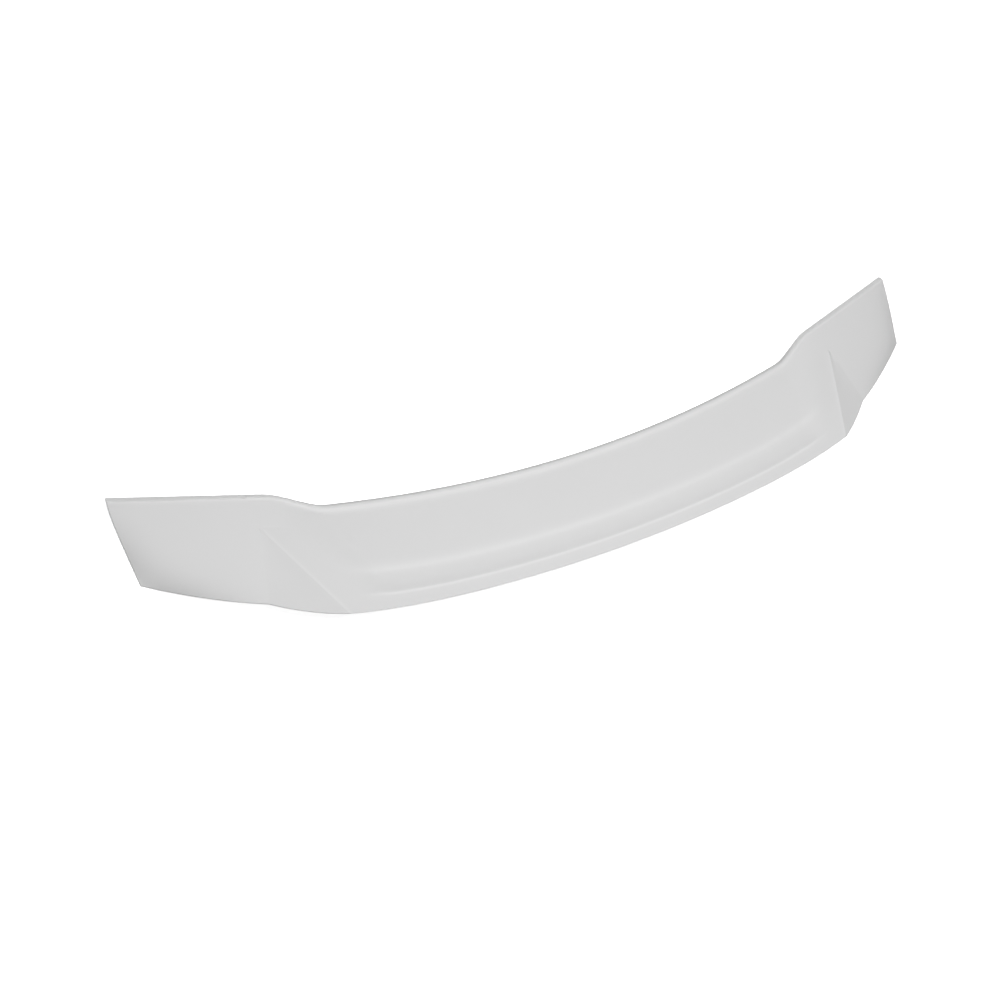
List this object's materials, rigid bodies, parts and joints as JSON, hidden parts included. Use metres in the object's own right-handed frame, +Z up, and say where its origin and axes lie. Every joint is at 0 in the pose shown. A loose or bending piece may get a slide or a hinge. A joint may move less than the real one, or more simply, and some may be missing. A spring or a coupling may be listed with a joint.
{
  "type": "rear spoiler",
  "caption": "Low boot-lid spoiler: a bowed moulded shell with a raised trailing lip, a stepped shelf and drooping wing tips, open underneath.",
  "frame": {"origin": "bottom centre of the bounding box: the rim lies on Z = 0, the part is centred across the car and front to back", "axes": "+X across the car along the span and the normal of the mirror plane; +Y forward, from the trailing lip to the leading edge; +Z up"},
  "size_m": [1.205, 0.243, 0.0575],
  "materials": {
    "primed_plastic": "satin light grey primer, unpainted"
  },
  "bodies": {
    "root": {"spoiler_shell": "primed_plastic"}
  },
  "joints": []
}
